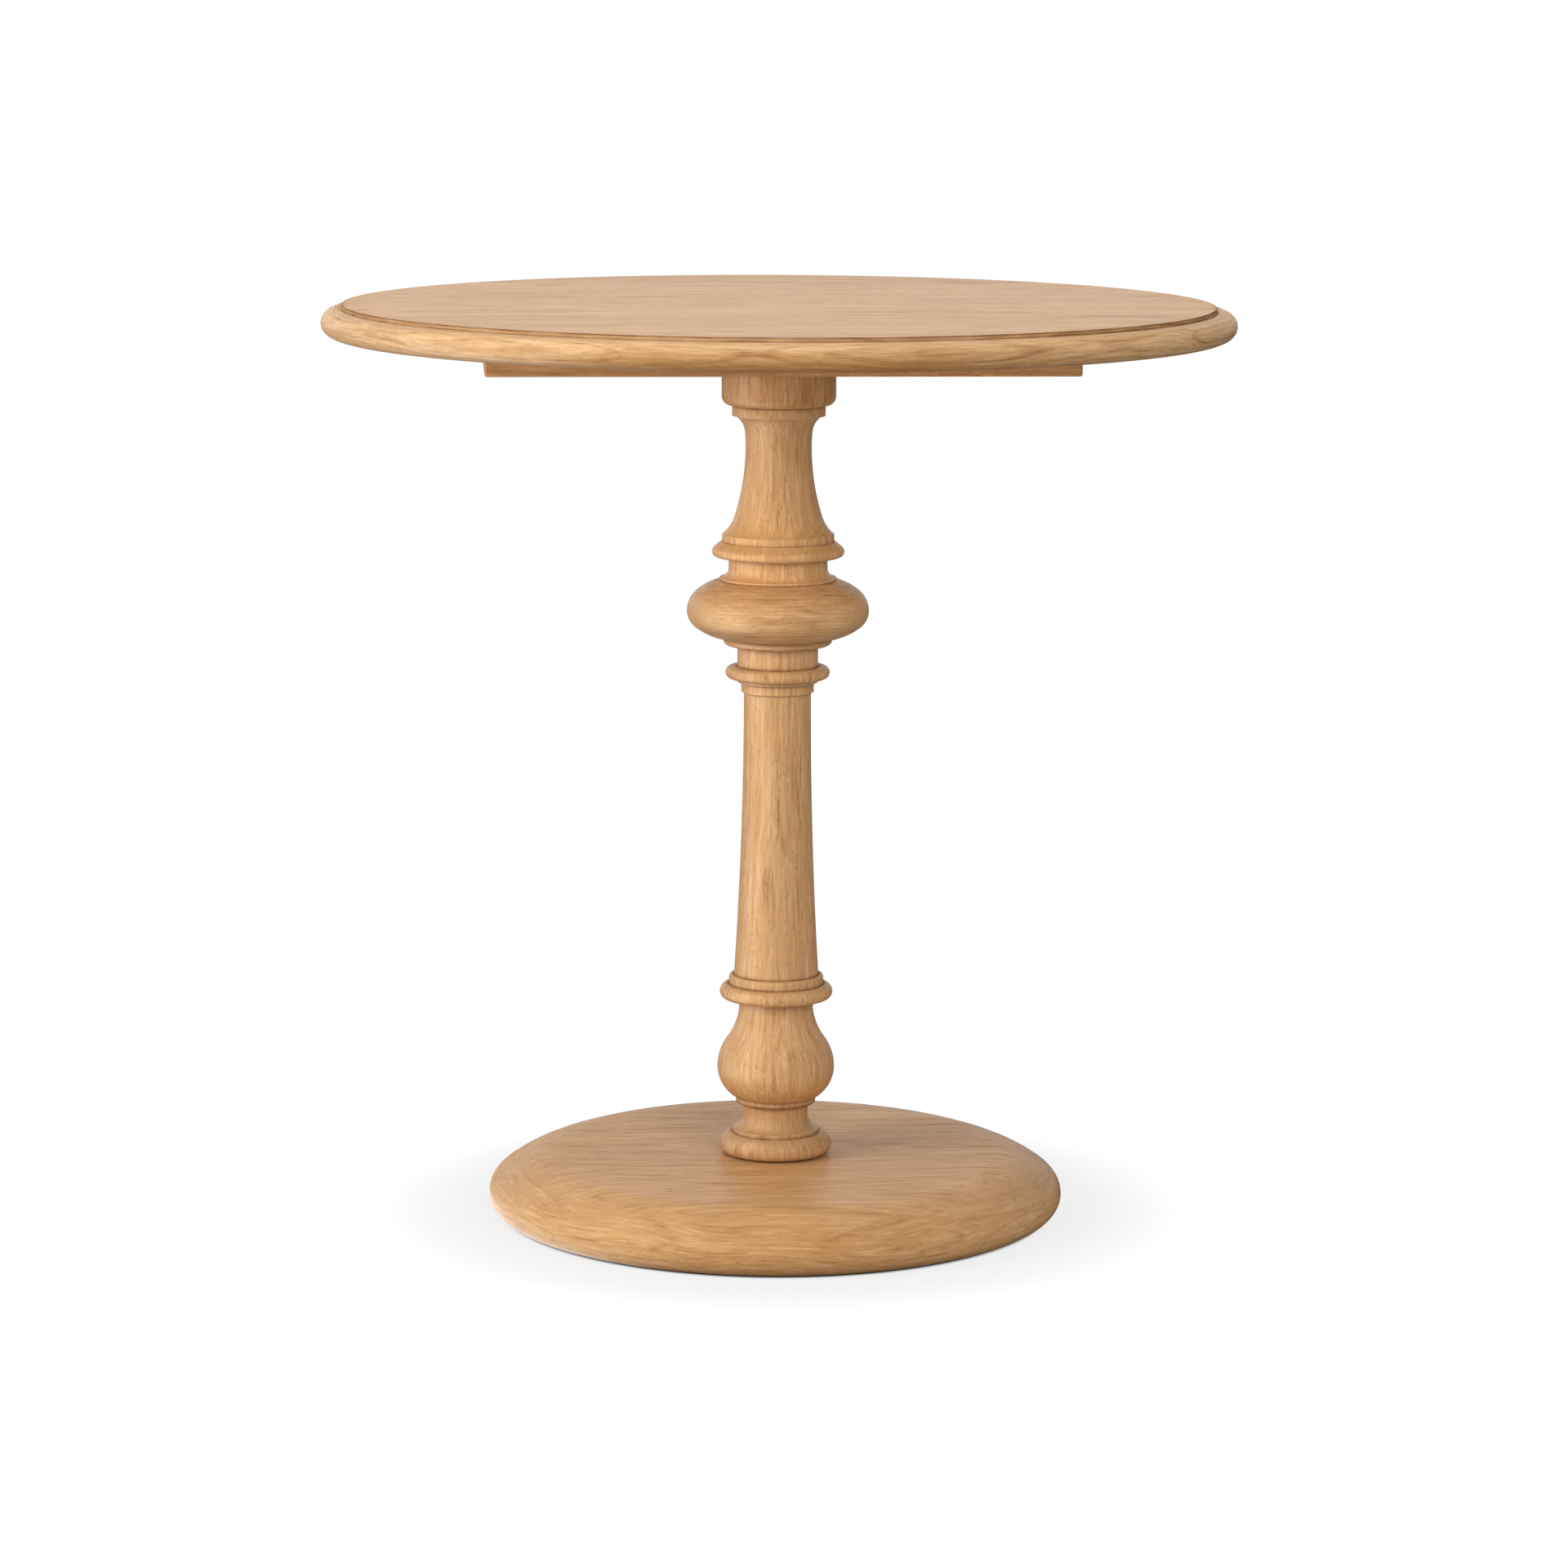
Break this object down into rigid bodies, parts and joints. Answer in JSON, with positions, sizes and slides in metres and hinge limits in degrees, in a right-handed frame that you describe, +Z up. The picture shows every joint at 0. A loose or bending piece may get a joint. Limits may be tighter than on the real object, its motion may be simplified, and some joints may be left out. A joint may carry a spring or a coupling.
{
  "type": "pedestal table",
  "caption": "Round oak pedestal table: stepped-rim round top on a bearer, a turned column with vase, knop, slim shaft and bulb, and a rounded disc base on levelling glides.",
  "frame": {"origin": "on the floor, under the middle of the base and of the column", "axes": "+Z up along the column, +X along the bearer and the grain of the boards, -Y towards the viewer of the picture, who stands about 5 degrees to the -X side of it"},
  "size_m": [0.75, 0.7498, 0.762],
  "materials": {
    "oak_top": "satin",
    "oak_base": "satin",
    "oak_column": "satin",
    "oak_bearer": "satin",
    "beech_dowels": "matt",
    "zinc_steel": "zinc plated",
    "brass_inserts": "plain",
    "nylon_pads": "matt"
  },
  "bodies": {
    "table": {"top_board_1": "oak_top", "top_board_2": "oak_top", "top_board_3": "oak_top", "top_board_4": "oak_top", "top_board_5": "oak_top", "top_board_6": "oak_top", "base_board_1": "oak_base", "base_board_2": "oak_base", "base_board_3": "oak_base", "base_board_4": "oak_base", "base_board_5": "oak_base", "column_collar": "oak_column", "column_vase": "oak_column", "column_knop": "oak_column", "column_shaft": "oak_column", "column_bulb": "oak_column", "column_foot": "oak_column", "top_bearer": "oak_bearer", "collar_dowels": "beech_dowels", "foot_dowels": "beech_dowels", "tie_rod": "zinc_steel", "upper_washer": "zinc_steel", "upper_nut": "zinc_steel", "lower_washer": "zinc_steel", "lower_nut": "zinc_steel", "bearer_screws": "zinc_steel", "glide_inserts": "brass_inserts"},
    "glide_1": {"glide_stem_1": "zinc_steel", "glide_pad_1": "nylon_pads"},
    "glide_2": {"glide_stem_2": "zinc_steel", "glide_pad_2": "nylon_pads"},
    "glide_3": {"glide_stem_3": "zinc_steel", "glide_pad_3": "nylon_pads"},
    "glide_4": {"glide_stem_4": "zinc_steel", "glide_pad_4": "nylon_pads"},
    "glide_5": {"glide_stem_5": "zinc_steel", "glide_pad_5": "nylon_pads"},
    "glide_6": {"glide_stem_6": "zinc_steel", "glide_pad_6": "nylon_pads"}
  },
  "joints": [
    {"name": "glide_1_level", "type": "slide", "parent": "table", "child": "glide_1", "axis": [0, 0, -1], "range_m": [0, 0.01]},
    {"name": "glide_2_level", "type": "slide", "parent": "table", "child": "glide_2", "axis": [0, 0, -1], "range_m": [0, 0.01]},
    {"name": "glide_3_level", "type": "slide", "parent": "table", "child": "glide_3", "axis": [0, 0, -1], "range_m": [0, 0.01]},
    {"name": "glide_4_level", "type": "slide", "parent": "table", "child": "glide_4", "axis": [0, 0, -1], "range_m": [0, 0.01]},
    {"name": "glide_5_level", "type": "slide", "parent": "table", "child": "glide_5", "axis": [0, 0, -1], "range_m": [0, 0.01]},
    {"name": "glide_6_level", "type": "slide", "parent": "table", "child": "glide_6", "axis": [0, 0, -1], "range_m": [0, 0.01]}
  ]
}
